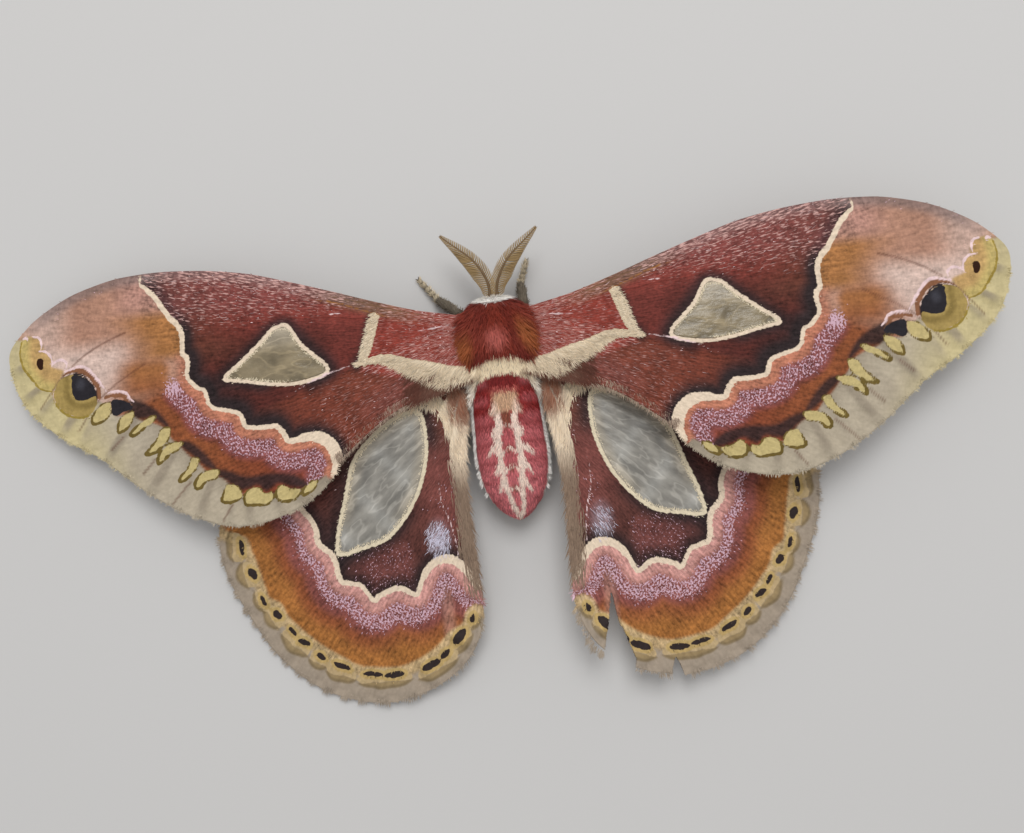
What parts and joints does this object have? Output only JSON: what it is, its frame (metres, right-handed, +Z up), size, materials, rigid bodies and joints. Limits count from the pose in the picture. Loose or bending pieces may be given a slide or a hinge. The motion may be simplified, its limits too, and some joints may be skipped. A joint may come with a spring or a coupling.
{
  "type": "rothschildia moth, still life-size model",
  "caption": "Large silk moth resting with its wings spread flat: furred body, feathered antennae, legs under it, patterned wings with clear windows.",
  "frame": {"origin": "middle of the flat under the abdomen, on the floor the moth rests on", "axes": "+Y the way the head points, +X towards the moth's right side, +Z up"},
  "size_m": [0.1297, 0.0594, 0.0105],
  "materials": {
    "head": "short pale pinkish brown fur",
    "thorax": "deep brick red fur with a cream band behind",
    "abdomen": "velvety crimson with a cream chain along the back",
    "eyes": "dark, faintly faceted gloss",
    "antennae": "matt ochre brown horn with fine hair",
    "legs": "grey-beige hair over brown",
    "forewings": "powdery scales: maroon field, cream lines, lilac and orange bands, pale margin, clear windows",
    "hindwings": "powdery scales: maroon field, cream scalloped line, orange band, row of black spots, clear windows"
  },
  "bodies": {
    "root": {"head": "head", "thorax": "thorax", "abdomen": "abdomen", "eye_left": "eyes", "eye_right": "eyes", "antenna_left": "antennae", "antenna_right": "antennae", "foreleg_left": "legs", "foreleg_right": "legs", "midleg_left": "legs", "midleg_right": "legs", "hindleg_left": "legs", "hindleg_right": "legs", "forewing_left": "forewings", "forewing_right": "forewings", "hindwing_left": "hindwings", "hindwing_right": "hindwings"}
  },
  "joints": []
}
